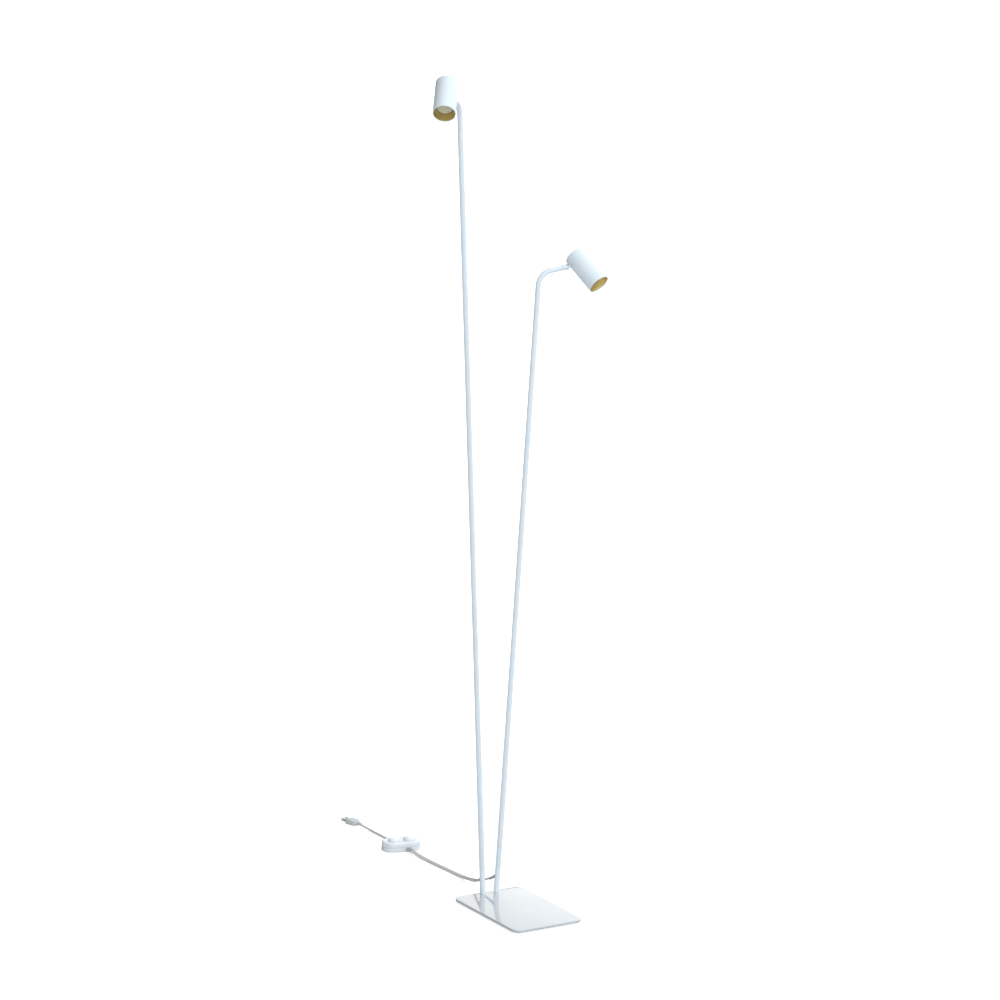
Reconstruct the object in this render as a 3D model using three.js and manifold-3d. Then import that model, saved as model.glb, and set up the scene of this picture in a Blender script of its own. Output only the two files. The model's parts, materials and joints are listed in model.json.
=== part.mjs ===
// Two-headed adjustable floor lamp. Two slim steel tubes stand near the back edge of a heavy plate,
// splay apart and lean back a little. Each is bent near its top into a short arm that carries a
// cylindrical spot. Each stand has its own lead, which runs back along the floor to a foot switch
// with two buttons; one mains lead goes on from the switch to a flat two-pin plug.
// Millimetres, +Z up. Origin: centre of the plate's resting face. +X towards the low stand, +Y back.

import * as THREE from 'three';
import { mergeVertices } from 'three/addons/utils/BufferGeometryUtils.js';
import Module from 'manifold-3d';

const wasm = await Module();
wasm.setup();

// Driving dimensions
const gap = 0.3; // left between pieces that touch
const plate = { width: 180, depth: 240, thick: 5, corner: 18 };
const pad = { inset: 4, thick: 1.2 };
const plateBottom = pad.thick + gap;
const plateTop = plateBottom + plate.thick;

const tube = { outer: 6, bore: 5, bend: 76, bendRadius: 35 };
const stand = { footX: 18, footY: 108, leanOut: 0.058, leanBack: 0.071 };
const foot = { top: 58, solid: 12, tapped: 9.5, channel: 3.6, root: 8 };
const footSpigot = { radius: 3.6, bore: 2.5, top: 84 };
const footScrew = { shank: 2.3, hole: 2.7, head: 4.4, headThick: 2.2, recess: 5, headTop: -2.5, end: 8.5 };
const cableExit = { height: 38, down: 30, inward: 13, hole: 3.6, neck: 3.2, length: 26 };
const wire = { radius: 1.9, belowTop: 14 };
const arm = { hinge: 66, tubeEnd: 52 }; // measured from the tube's corner

const stands = [
  { name: 'high', side: -1, corner: 1720, turn: 220, swivel: -171, tilt: 36 },
  { name: 'low', side: 1, corner: 1355, turn: 346, swivel: 138, tilt: 15 },
];

const can = { radius: 24, wall: 1.4, length: 90, hinge: 18, offset: 32, round: 4, back: 2.2 };
const lamp = { face: 75, radius: 17.5, rear: 39, pin: 5 };
const holder = { radius: 13, low: 20, high: 31.7 };
const bracket = { width: 10, span: 30, low: 2.5, thick: 1.2, foot: 6 };
const fork = { radius: 6.6, slot: 4, nose: 6.3, plug: 10 };
const tiltScrew = { radius: 1.4, head: 2.7, end: -6.4 };
const stem = { eye: 3.6, halfThick: 1.7, collar: 5, collarFrom: 6.9, collarTo: 7.6, thread: 2.9, end: 15 };
const nut = { radius: 5.8, bore: 3.7, from: 10.9, to: 13.6 };

const cord = { lead: 2.3, mains: 2.5 };
const footSwitch = { x: -0.5, y: 459, yaw: -11, length: 90, width: 46, seam: 9, height: 21, wall: 2 };
const switchCords = { height: 6.2, leads: [7, 13], leadTurn: 8, mains: -5 };
const post = { spread: 38.2, radius: 2.8, pilot: 1.3, screw: 1 };
const button = { spread: 19, radius: 12, flange: 13.4, flangeTop: 18.7, flangeThick: 1.5, top: 27.4 };
const contact = { width: 20, depth: 24, low: 2.4, high: 9.4 };
const spring = { radius: 5, wire: 0.4, turns: 2.5, low: 10.3, high: 13.1 };
const plug = { x: 1.5, y: 642, yaw: 17, width: 22, height: 11, length: 27, edge: 1.2 };
const blade = { spread: 6.35, thick: 1.5, length: 22, height: 6.3, socket: 6 };

// Colours
const white = { color: 0xf2f4f6, roughness: 0.22, metalness: 0 };
const gold = { color: 0xb8963e, roughness: 0.28, metalness: 1 };
const steel = { color: 0xb9bcc0, roughness: 0.35, metalness: 1 };
const cordGrey = { color: 0x8f8c88, roughness: 0.6, metalness: 0 };
const plugGrey = { color: 0xa9abad, roughness: 0.5, metalness: 0 };
const darkFoam = { color: 0x2e2e30, roughness: 0.95, metalness: 0 };
const nylon = { color: 0xe8e6df, roughness: 0.6, metalness: 0 };
const ceramic = { color: 0xf3efe6, roughness: 0.5, metalness: 0 };
const glass = { color: 0xe9d9b0, roughness: 0.15, metalness: 0 };
const copper = { color: 0xc07a4a, roughness: 0.4, metalness: 1 };

const lamp3d = new THREE.Group();

// Solids: closed meshes with merged corners, joined and cut
function merged(geometry) {
  const bare = geometry.index ? geometry.clone() : geometry;
  bare.deleteAttribute('normal');
  bare.deleteAttribute('uv');
  return mergeVertices(bare, 1e-4);
}

function volume(geometry) {
  const p = geometry.attributes.position;
  const index = geometry.index.array;
  const [a, b, c] = [new THREE.Vector3(), new THREE.Vector3(), new THREE.Vector3()];
  let sum = 0;
  for (let i = 0; i < index.length; i += 3) {
    a.fromBufferAttribute(p, index[i]);
    b.fromBufferAttribute(p, index[i + 1]);
    c.fromBufferAttribute(p, index[i + 2]);
    sum += a.dot(b.cross(c));
  }
  return sum / 6;
}

function solid(geometry) {
  const mesh = merged(geometry);
  const index = Array.from(mesh.index.array);
  if (volume(mesh) < 0) index.reverse();
  const vertProperties = Float32Array.from(mesh.attributes.position.array);
  return new wasm.Manifold(new wasm.Mesh({ numProp: 3, vertProperties, triVerts: Uint32Array.from(index) }));
}

function piece(parent, name, body, look) {
  const mesh = body.getMesh();
  const geometry = new THREE.BufferGeometry();
  geometry.setAttribute('position', new THREE.BufferAttribute(mesh.vertProperties, 3));
  geometry.setIndex(new THREE.BufferAttribute(mesh.triVerts, 1));
  const part = new THREE.Mesh(geometry, new THREE.MeshStandardMaterial(look));
  part.name = name;
  parent.add(part);
  return part;
}

// A turned piece: radius and height pairs, about +Z
function turned(profile, segments = 18) {
  const points = profile.map(([radius, height]) => new THREE.Vector2(radius, height));
  return solid(new THREE.LatheGeometry(points, segments).rotateX(Math.PI / 2));
}

function ring(outer, inner, low, high, segments = 16) {
  return turned([[outer, low], [outer, high], [inner, high], [inner, low], [outer, low]], segments);
}

function rod(radius, low, high, segments = 16) {
  return turned([[0, low], [radius, low], [radius, high], [0, high]], segments);
}

function block(width, depth, height, x = 0, y = 0, z = 0) {
  return solid(new THREE.BoxGeometry(width, depth, height).translate(x, y, z));
}

function turn(body, x, y, z) {
  return body.rotate([x, y, z]);
}

function move(body, x, y, z) {
  return body.translate([x, y, z]);
}

// A rectangle with round corners, as a shape in X and Y
function roundedRectangle(width, depth, corner) {
  const [w, d] = [width / 2, depth / 2];
  const shape = new THREE.Shape();
  shape.moveTo(w, corner - d);
  shape.lineTo(w, d - corner);
  shape.absarc(w - corner, d - corner, corner, 0, Math.PI / 2);
  shape.lineTo(corner - w, d);
  shape.absarc(corner - w, d - corner, corner, Math.PI / 2, Math.PI);
  shape.lineTo(-w, corner - d);
  shape.absarc(corner - w, corner - d, corner, Math.PI, 1.5 * Math.PI);
  shape.lineTo(w - corner, -d);
  shape.absarc(w - corner, corner - d, corner, 1.5 * Math.PI, 2 * Math.PI);
  return shape;
}

function slab(width, depth, corner, low, high, curveSegments = 5) {
  const shape = roundedRectangle(width, depth, corner);
  const settings = { depth: high - low, bevelEnabled: false, curveSegments };
  return solid(new THREE.ExtrudeGeometry(shape, settings).translate(0, 0, low));
}

// A path that keeps its own stations, so a long straight stretch costs one step
class StationPath extends THREE.Curve {
  constructor(stations) {
    super();
    this.stations = stations;
  }

  getPoint(t) {
    const last = this.stations.length - 1;
    const at = Math.min(Math.max(t, 0), 1) * last;
    const i = Math.min(Math.floor(at), last - 1);
    return this.stations[i].clone().lerp(this.stations[i + 1], at - i);
  }

  getUtoTmapping(u) {
    return u;
  }
}

function circle(radius, sides) {
  const shape = new THREE.Shape();
  for (let i = 0; i < sides; i += 1) {
    const angle = (2 * Math.PI * i) / sides;
    shape[i ? 'lineTo' : 'moveTo'](radius * Math.cos(angle), radius * Math.sin(angle));
  }
  shape.closePath();
  return shape;
}

function along(path, radius, bore, sides, steps) {
  const shape = circle(radius, sides);
  if (bore) shape.holes.push(circle(bore, sides));
  return solid(new THREE.ExtrudeGeometry(shape, { steps, extrudePath: path, curveSegments: 1 }));
}

// A straight tube with one bend, in the XZ plane: up from low, then end away from the corner
function bentTube(low, corner, end, radius, bore, sides) {
  const bend = THREE.MathUtils.degToRad(tube.bend);
  const tangent = tube.bendRadius * Math.tan(bend / 2);
  const stations = [new THREE.Vector3(0, 0, low)];
  const arcSteps = 8;
  for (let i = 0; i <= arcSteps; i += 1) {
    const angle = (bend * i) / arcSteps;
    const x = tube.bendRadius * (1 - Math.cos(angle));
    const z = corner - tangent + tube.bendRadius * Math.sin(angle);
    stations.push(new THREE.Vector3(x, 0, z));
  }
  stations.push(new THREE.Vector3(end * Math.sin(bend), 0, corner + end * Math.cos(bend)));
  return along(new StationPath(stations), radius, bore, sides, stations.length - 1);
}

// Groups that follow the stands
function standGroup(side, turnDegrees) {
  const up = new THREE.Vector3(side * stand.leanOut, stand.leanBack, 1).normalize();
  const angle = THREE.MathUtils.degToRad(turnDegrees);
  const forward = new THREE.Vector3(Math.cos(angle), Math.sin(angle), 0);
  forward.addScaledVector(up, -forward.dot(up)).normalize();
  const left = new THREE.Vector3().crossVectors(up, forward);
  const group = new THREE.Group();
  group.quaternion.setFromRotationMatrix(new THREE.Matrix4().makeBasis(forward, left, up));
  group.position.set(side * stand.footX, stand.footY, plateTop);
  lamp3d.add(group);
  return group;
}

function child(parent, z, rotation) {
  const group = new THREE.Group();
  group.position.z = z;
  group.rotation.set(...rotation.map(THREE.MathUtils.degToRad));
  parent.add(group);
  return group;
}

// Base: steel plate with two counterbored screw holes, on a foam pad
function placed(body, side) {
  const up = new THREE.Vector3(side * stand.leanOut, stand.leanBack, 1).normalize();
  const [x, y, z] = [side * stand.footX, stand.footY, plateTop];
  const tiltBack = -THREE.MathUtils.radToDeg(Math.asin(up.y));
  const tiltOut = THREE.MathUtils.radToDeg(Math.atan2(up.x, up.z));
  return move(turn(body, tiltBack, tiltOut, 0), x, y, z);
}

function buildBase() {
  let body = slab(plate.width, plate.depth, plate.corner, plateBottom, plateTop, 7);
  for (const { side } of stands) {
    const below = -2 * plateTop;
    const recess = rod(footScrew.recess, below, footScrew.headTop + gap, 16);
    body = body.subtract(placed(rod(footScrew.hole, below, plateTop, 14).add(recess), side));
  }
  piece(lamp3d, 'base_plate', body, white);
  const padSize = [plate.width - 2 * pad.inset, plate.depth - 2 * pad.inset];
  piece(lamp3d, 'base_pad', slab(...padSize, plate.corner - pad.inset, 0, pad.thick), darkFoam);
}

// Foot of a stand: a short tube with a solid end, a side hole for the lead and a spigot on top
function buildFoot({ name, side }) {
  const group = standGroup(side, 0);
  const { top, solid: solidTop, tapped, channel, root } = foot;
  const { radius: spigot, bore: spigotBore, top: spigotTop } = footSpigot;
  const below = -tube.outer / 2;
  const profile = [
    [0, tapped], [footScrew.hole, tapped], [footScrew.hole, below], [tube.outer, below], [tube.outer, top],
    [spigot, top], [spigot, spigotTop], [spigotBore, spigotTop], [spigotBore, top - root],
    [channel, top - root], [channel, solidTop], [0, solidTop],
  ];
  const atExit = (body) => {
    const turnedOut = turn(body, -90 - cableExit.down, 0, side * cableExit.inward);
    return move(turnedOut, 0, 0, cableExit.height);
  };
  const hole = atExit(rod(cableExit.hole, 1, 14, 12));
  const under = block(40, 40, 20, 0, 0, gap - 10);
  const untilt = new THREE.Euler().setFromQuaternion(group.quaternion.clone().invert(), 'ZYX');
  const degrees = [untilt.x, untilt.y, untilt.z].map(THREE.MathUtils.radToDeg);
  const body = turned(profile).subtract(hole).subtract(turn(under, ...degrees));
  piece(group, `foot_${name}`, body, white);

  const { head, headThick, headTop, shank, end } = footScrew;
  const screw = turned([
    [0, headTop - headThick], [head, headTop - headThick], [head, headTop], [shank, headTop],
    [shank, end], [0, end],
  ], 20);
  piece(group, `foot_screw_${name}`, screw, steel);
  const bush = ring(tube.bore - gap, spigot + gap, top + 2 * gap, spigotTop - 1);
  piece(group, `turn_bush_${name}`, bush, nylon);

  // Relief: a neck through the hole, and a flange and taper that fit the tube's outside
  const outside = turned([
    [0, 3], [4.3, 3], [4.3, 9.6], [3.3, 10.2], [2.6, cableExit.length], [0, cableExit.length],
  ], 16);
  const neck = atExit(rod(cableExit.neck, 4.8, 12, 16));
  const sleeve = atExit(outside).subtract(rod(tube.outer + gap, 0, foot.top));
  piece(group, `lead_relief_${name}`, sleeve.add(neck), cordGrey);
}

// Upper part of a stand, which turns in its foot: bent tube, its inner wire, and the spot
function buildStand({ name, side, corner, turn: turnDegrees, swivel, tilt }) {
  const group = standGroup(side, turnDegrees);
  const bent = bentTube(foot.top + gap, corner, arm.tubeEnd, tube.outer, tube.bore, 16);
  piece(group, `stand_tube_${name}`, bent, white);
  const core = bentTube(footSpigot.top + 2, corner, arm.tubeEnd - wire.belowTop, wire.radius, 0, 6);
  piece(group, `inner_wire_${name}`, core, copper);
  const armEnd = child(child(group, corner, [0, tube.bend, 0]), arm.hinge, [0, 0, swivel]);
  buildFork(armEnd, name);
  buildSpot(child(armEnd, 0, [0, tilt - 90, 0]), name);
}

// Fork at the arm's end: its spigot turns in the tube, its cheeks hold the tilt screw along Y
function buildFork(group, name) {
  const shoulder = arm.tubeEnd - arm.hinge + gap;
  const { radius, slot, nose, plug: plugLength } = fork;
  const spigot = tube.bore - gap;
  const profile = [
    [0, shoulder - plugLength], [spigot, shoulder - plugLength], [spigot, shoulder], [5.8, shoulder],
    [radius, -5], [radius, 1], [radius - 1.4, 4.2], [radius - 4, nose - 0.4], [0, nose],
  ];
  const throughHole = turn(rod(tiltScrew.radius + gap, -10, 10, 16), 90, 0, 0);
  const body = turned(profile).subtract(block(20, slot, 14, 0, 0, 2.4)).subtract(throughHole);
  piece(group, `swivel_fork_${name}`, body, white);
  const { radius: shank, head, end } = tiltScrew;
  const seat = radius + gap;
  const screw = turned([
    [0, end], [shank, end], [shank, seat], [head, seat], [head, seat + 1.1], [head - 0.7, seat + 1.5],
    [0, seat + 1.5],
  ], 16);
  piece(group, `tilt_screw_${name}`, turn(screw, -90, 0, 0), steel);
}

// Spot: group's X runs from the tilt screw through the can's wall, its Z out of the open end
function buildSpot(group, name) {
  const { radius, wall, length, hinge, offset, round, back } = can;
  const inner = radius - wall;
  const spot = new THREE.Group();
  spot.position.set(offset, 0, -hinge);
  group.add(spot);

  const rim = [];
  for (let i = 0; i <= 3; i += 1) {
    const angle = (Math.PI / 2) * (i / 3);
    rim.push([radius - round + round * Math.sin(angle), round - round * Math.cos(angle)]);
  }
  const shell = turned([[0, 0], ...rim, [radius, length], [inner, length], [inner, back], [0, back]], 32);
  const stemHole = move(turn(rod(3.3, -30, -18, 16), 0, 90, 0), 0, 0, hinge);
  piece(spot, `can_${name}`, shell.subtract(stemHole), white);

  // Stem: an eye between the fork's cheeks, a collar outside the wall and a thread through it
  const { eye: eyeRadius, halfThick, collar, collarFrom, collarTo, thread, end } = stem;
  const neckHeight = 2 * eyeRadius - 0.8;
  const neck = block(collarFrom + 0.1, 2 * halfThick, neckHeight, (collarFrom + 0.5) / 2, 0, 0);
  const eye = turn(rod(eyeRadius, -halfThick, halfThick, 20), 90, 0, 0).add(neck);
  const shaft = turned([
    [0, collarFrom], [collar, collarFrom], [collar, collarTo], [thread, collarTo], [thread, end], [0, end],
  ], 16);
  const pinHole = turn(rod(tiltScrew.radius + gap, -4, 4, 16), 90, 0, 0);
  piece(group, `stem_${name}`, eye.add(turn(shaft, 0, 90, 0)).subtract(pinHole), steel);
  const hexagon = ring(nut.radius, nut.bore, nut.from, nut.to, 6);
  piece(group, `stem_nut_${name}`, turn(hexagon, 0, 90, 0), steel);

  // Gold cone that lines the mouth, closed behind by the lamp's face
  const lip = inner - gap;
  const cone = [
    [lip, lamp.face - 4], [lip, length - 0.4], [lip - 0.9, length - 0.4], [lamp.radius + 1.2, lamp.face],
    [lamp.radius + 1.2, lamp.face - 4], [lip, lamp.face - 4],
  ];
  piece(spot, `baffle_${name}`, turned(cone, 28), gold);

  const { face, rear, radius: lampRadius } = lamp;
  const bowl = [
    [0, rear], [8.5, rear], [9.5, rear + 8], [14.2, rear + 18], [lampRadius, rear + 28], [lampRadius, face - 4],
    [14.8, face - 4.4], [9.4, face - 12], [5.7, rear + 15], [0, rear + 14],
  ];
  piece(spot, `lamp_bowl_${name}`, turned(bowl, 18), gold);
  const lens = [
    [0, face - 3.7], [lampRadius, face - 3.7], [lampRadius, face - 2.4], [lampRadius - 1.6, face - 1.4],
    [0, face - 0.8],
  ];
  piece(spot, `lamp_lens_${name}`, turned(lens, 18), glass);

  // Lamp's twist-lock cap, its holder, and the bracket that the holder sits on
  let cap = rod(7.6, holder.high + gap, lamp.rear - gap, 16);
  let base = rod(holder.radius, holder.low, holder.high, 16);
  for (const x of [-lamp.pin, lamp.pin]) {
    const tip = holder.high - 5.7;
    cap = cap.add(move(rod(1.5, tip, holder.high + 1, 8).add(rod(2.3, tip, tip + 1.6, 8)), x, 0, 0));
    base = base.subtract(move(rod(2.8, tip - 2 * gap, holder.high + 1, 8), x, 0, 0));
  }
  piece(spot, `lamp_cap_${name}`, cap, ceramic);
  piece(spot, `lamp_holder_${name}`, base, ceramic);
  const { width, span, low, thick, foot: footDepth } = bracket;
  const high = holder.low - gap - 0.1;
  let strap = block(width, span, thick, 0, 0, high - thick / 2);
  for (const side of [-1, 1]) {
    const leg = block(width, thick, high - low, 0, side * (span - thick) / 2, (high + low) / 2);
    const tab = block(width, footDepth, thick, 0, side * (span - footDepth) / 2, low + thick / 2);
    strap = strap.add(leg).add(tab);
  }
  piece(spot, `holder_bracket_${name}`, strap, steel);
}

// Cords, plain tubes along hand-laid routes. Each starts where its strain relief ends
const leadRoutes = {
  high: [
    [-14.9, 132.9, 30.6], [-9.8, 147, 23.6], [-4, 161, 18], [1.2, 178, 13.2], [5.2, 197, 9.2],
    [7.8, 218, 5.9], [9.2, 241, 3.5], [9.2, 264, 2.5], [8.2, 285, 2.4], [6.6, 306, 2.4], [5.2, 328, 2.4],
    [4.2, 351, 2.4], [3.4, 370, 2.5], [2.6, 386, 3.3], [1.8, 401, 4.7], [1, 416.7, 6.2],
  ],
  low: [
    [14.9, 132.9, 30.6], [12.6, 147, 23.6], [12, 161, 18], [12.4, 178, 13.2], [13.4, 197, 9.2],
    [14.5, 218, 5.9], [15.2, 241, 3.5], [15, 264, 2.5], [14, 285, 2.4], [12.4, 306, 2.4], [11, 328, 2.4],
    [10, 351, 2.4], [9.3, 370, 2.5], [8.5, 386, 3.3], [7.7, 401, 4.7], [6.9, 415.5, 6.2],
  ],
};
const mainsRoute = [
  [3.4, 504.6, 6.2], [4.7, 511, 5], [5.7, 518, 3.9], [6.3, 526, 3.1], [6.6, 535, 2.6], [6.6, 544, 2.6],
  [6.4, 554, 2.6], [6.1, 564, 2.6], [5.8, 574, 2.6], [5.5, 583, 2.7], [5.1, 593, 3], [4.6, 602, 3.5],
  [3.9, 611, 4.1], [2.9, 620.5, 4.8], [1.5, 629.4, 5.5],
];

function curve(points) {
  return new THREE.CatmullRomCurve3(points.map((point) => new THREE.Vector3(...point)), false, 'centripetal');
}

function buildCord(name, points, radius, steps) {
  piece(lamp3d, name, along(curve(points), radius, 0, 8, steps), cordGrey);
}

// Foot switch: two shells, two buttons over sprung contact blocks, a relief on each side
function buildSwitch() {
  const group = new THREE.Group();
  group.position.set(footSwitch.x, footSwitch.y, 0);
  group.rotation.z = THREE.MathUtils.degToRad(footSwitch.yaw);
  lamp3d.add(group);
  const { length, width, seam, height, wall } = footSwitch;
  const end = width / 2 - 0.5;
  const inside = [length - 2 * wall, width - 2 * wall, end - wall];

  const { height: cordHeight, leads, leadTurn, mains } = switchCords;
  const atFront = (body, x) => move(turn(body, 90, 0, leadTurn), x, -width / 2, cordHeight);
  const atBack = (body) => move(turn(body, -90, 0, 0), mains, width / 2, cordHeight);
  let lower = slab(length, width, end, 0, seam).subtract(slab(...inside, wall, seam + 1));
  lower = lower.subtract(atBack(rod(3.2, -5, 3, 12)));
  for (const x of leads) lower = lower.subtract(atFront(rod(2.9, -5, 4, 12), x));
  const posts = [-post.spread, post.spread];
  for (const x of posts) {
    lower = lower.add(move(rod(post.radius, 1, 6, 12), x, 0, 0));
    lower = lower.subtract(move(rod(post.pilot + 0.1, -1, 7, 8), x, 0, 0));
  }
  piece(group, 'switch_base', lower, white);

  let crown = slab(length, width, end, seam + gap, height - 3);
  for (const [step, low, high] of [[0.6, 3.5, 1.2], [2, 2, 0]]) {
    crown = crown.add(slab(length - 2 * step, width - 2 * step, end - step, height - low, height - high));
  }
  let upper = crown.subtract(slab(...inside, seam - 1, height - wall));
  for (const x of [-button.spread, button.spread]) {
    upper = upper.subtract(move(rod(button.radius + 0.5, 15, 30, 24), x, 0, 0));
  }
  for (const x of posts) {
    upper = upper.add(move(rod(post.radius, seam - 2.2, height - wall + 0.5, 12), x, 0, 0));
    upper = upper.subtract(move(rod(post.pilot, seam - 3, height - 6, 8), x, 0, 0));
  }
  piece(group, 'switch_cover', upper, white);
  for (const [name, x] of [['left', -post.spread], ['right', post.spread]]) {
    piece(group, `switch_screw_${name}`, move(rod(post.screw, gap, 13, 8), x, 0, 0), steel);
  }
  buildButton(group, 'high', -button.spread);
  buildButton(group, 'low', button.spread);

  const twin = turned([[0, -3], [2.5, -3], [2.5, 3], [2.8, 3.2], [2.4, 17.6], [0, 17.6]], 12);
  piece(group, 'switch_relief_high', atFront(twin, leads[0]), cordGrey);
  piece(group, 'switch_relief_low', atFront(twin, leads[1]), cordGrey);
  const single = turned([[0, -2], [2.9, -2], [2.9, 3], [3.3, 3.2], [2.7, 21], [0, 21]], 12);
  piece(group, 'switch_relief_mains', atBack(single), cordGrey);
}

// One button: a domed cap with a flange and a boss, a spring drawn pressed, and its contact block
function buildButton(group, name, x) {
  const { radius, flange, flangeTop, flangeThick, top } = button;
  const underside = flangeTop - flangeThick;
  const cap = turned([
    [0, 14.6], [3, 14.6], [3, underside], [flange, underside], [flange, flangeTop], [radius, flangeTop],
    [radius, top - 3.4], [radius - 1.2, top - 1.7], [radius - 4, top - 0.5], [0, top],
  ], 24);
  piece(group, `switch_button_${name}`, move(cap, x, 0, 0), white);

  const { width, depth, low, high } = contact;
  piece(group, `contact_block_${name}`, block(width, depth, high - low, x, 0, (high + low) / 2), darkFoam);

  const coil = [];
  const coilSteps = 24;
  for (let i = 0; i <= coilSteps; i += 1) {
    const part = i / coilSteps;
    const angle = 2 * Math.PI * spring.turns * part;
    const z = spring.low + (spring.high - spring.low) * part;
    coil.push(new THREE.Vector3(spring.radius * Math.cos(angle) + x, spring.radius * Math.sin(angle), z));
  }
  piece(group, `button_spring_${name}`, along(new StationPath(coil), spring.wire, 0, 5, coilSteps), steel);
}

// Flat plug with two blades, lying on the floor
function buildPlug() {
  const group = new THREE.Group();
  group.position.set(plug.x, plug.y, 0);
  group.rotation.z = THREE.MathUtils.degToRad(plug.yaw);
  lamp3d.add(group);
  const { width, height, length, edge } = plug;
  const outline = new THREE.Shape();
  outline.moveTo(-width / 2, length);
  outline.lineTo(-width / 2, 9);
  outline.quadraticCurveTo(-width / 2, 2, -5, 0);
  outline.lineTo(5, 0);
  outline.quadraticCurveTo(width / 2, 2, width / 2, 9);
  outline.lineTo(width / 2, length);
  const rounding = { bevelThickness: edge, bevelSize: edge, bevelOffset: -edge, bevelSegments: 2 };
  const settings = { depth: height - 2 * edge, ...rounding };
  let body = solid(new THREE.ExtrudeGeometry(outline, settings).translate(0, 0, edge));
  const places = [['left', -blade.spread], ['right', blade.spread]];
  for (const [, x] of places) {
    const [across, tall] = [blade.thick + 2 * gap, blade.height + 2 * gap];
    body = body.subtract(block(across, 2 * blade.socket, tall, x, length, height / 2));
  }
  piece(group, 'plug_body', body, plugGrey);
  for (const [name, x] of places) {
    const y = length - blade.socket + gap + blade.length / 2;
    const flat = block(blade.thick, blade.length, blade.height, x, y, height / 2);
    piece(group, `plug_blade_${name}`, flat, steel);
  }
  const relief = turned([[0, gap], [3.8, gap], [2.7, 12], [0, 12]], 16);
  piece(group, 'plug_relief', move(turn(relief, 90, 0, 0), 0, 0, height / 2), plugGrey);
}

buildBase();
for (const one of stands) {
  buildFoot(one);
  buildStand(one);
}
buildCord('lead_high', leadRoutes.high, cord.lead, 22);
buildCord('lead_low', leadRoutes.low, cord.lead, 22);
buildSwitch();
buildCord('mains_lead', mainsRoute, cord.mains, 14);
buildPlug();

export default lamp3d;
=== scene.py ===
import json
from math import cos, pi, radians, sin, tan

import bpy
from mathutils import Matrix, Vector


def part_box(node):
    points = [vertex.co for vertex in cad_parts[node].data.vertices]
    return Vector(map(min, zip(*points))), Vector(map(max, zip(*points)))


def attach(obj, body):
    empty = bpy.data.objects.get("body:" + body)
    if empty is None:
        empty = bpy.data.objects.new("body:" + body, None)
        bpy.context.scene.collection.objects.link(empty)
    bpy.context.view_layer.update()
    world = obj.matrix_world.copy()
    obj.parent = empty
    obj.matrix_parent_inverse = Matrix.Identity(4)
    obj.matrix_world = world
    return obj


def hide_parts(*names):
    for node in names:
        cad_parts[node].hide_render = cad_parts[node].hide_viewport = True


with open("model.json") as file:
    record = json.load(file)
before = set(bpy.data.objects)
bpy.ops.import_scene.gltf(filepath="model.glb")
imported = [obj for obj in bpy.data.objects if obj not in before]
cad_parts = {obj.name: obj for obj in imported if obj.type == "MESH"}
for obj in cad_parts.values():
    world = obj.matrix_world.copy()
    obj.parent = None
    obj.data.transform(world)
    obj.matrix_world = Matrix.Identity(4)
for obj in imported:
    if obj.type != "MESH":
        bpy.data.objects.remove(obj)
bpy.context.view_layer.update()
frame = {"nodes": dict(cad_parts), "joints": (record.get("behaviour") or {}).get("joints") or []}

mm = 0.001
joints = {joint["name"]: joint for joint in frame["joints"]}
nodes = frame["nodes"]
base = "base"


# Working helpers

def deselectAll():
    if bpy.context.object and bpy.context.object.mode != "OBJECT":
        bpy.ops.object.mode_set(mode="OBJECT")
    bpy.ops.object.select_all(action="DESELECT")


def onlySelect(piece):
    deselectAll()
    piece.select_set(True)
    bpy.context.view_layer.objects.active = piece


def named(name):
    piece = bpy.context.object
    piece.name = piece.data.name = name
    return piece


def openEdit(piece, kind="FACE"):
    onlySelect(piece)
    bpy.ops.object.mode_set(mode="EDIT")
    bpy.ops.mesh.select_mode(type=kind)
    bpy.ops.mesh.select_all(action="DESELECT")


def closeEdit():
    bpy.ops.object.mode_set(mode="OBJECT")


def pick(piece, kind, test):
    # selects the faces, edges or vertices whose middle and normal pass the test
    openEdit(piece, kind)
    closeEdit()
    mesh = piece.data
    if kind == "FACE":
        for face in mesh.polygons:
            face.select = test(face.center / mm, face.normal)
    elif kind == "EDGE":
        for edge in mesh.edges:
            ends = [mesh.vertices[i].co / mm for i in edge.vertices]
            edge.select = test(ends[0], ends[1])
    else:
        for vertex in mesh.vertices:
            vertex.select = test(vertex.co / mm)
    bpy.ops.object.mode_set(mode="EDIT")


def cleaned(piece):
    openEdit(piece, "VERT")
    bpy.ops.mesh.select_all(action="SELECT")
    bpy.ops.mesh.remove_doubles(threshold=1e-6)
    bpy.ops.mesh.normals_make_consistent(inside=False)
    closeEdit()
    return piece


def useModifier(piece, kind, **settings):
    onlySelect(piece)
    modifier = piece.modifiers.new(kind.title(), kind)
    for key, value in settings.items():
        setattr(modifier, key, value)
    bpy.ops.object.modifier_apply(modifier=modifier.name)
    return piece


def softEdges(piece, width, segments=2, angle=35):
    return useModifier(piece, "BEVEL", width=width * mm, segments=segments, limit_method="ANGLE",
                       angle_limit=radians(angle), harden_normals=False)


def cut(piece, cutter, operation="DIFFERENCE"):
    useModifier(piece, "BOOLEAN", object=cutter, operation=operation, solver="EXACT")
    bpy.data.objects.remove(cutter)
    return piece


def smooth(piece, angle=35):
    onlySelect(piece)
    bpy.ops.object.shade_smooth_by_angle(angle=radians(angle))
    return piece


def arc(x, z, radius, start, end, count):
    # points on a circle, in profile coordinates, angles in degrees from the outward direction
    points = []
    for i in range(count + 1):
        angle = radians(start + (end - start) * i / count)
        points.append((x + radius * cos(angle), z + radius * sin(angle)))
    return points


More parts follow.
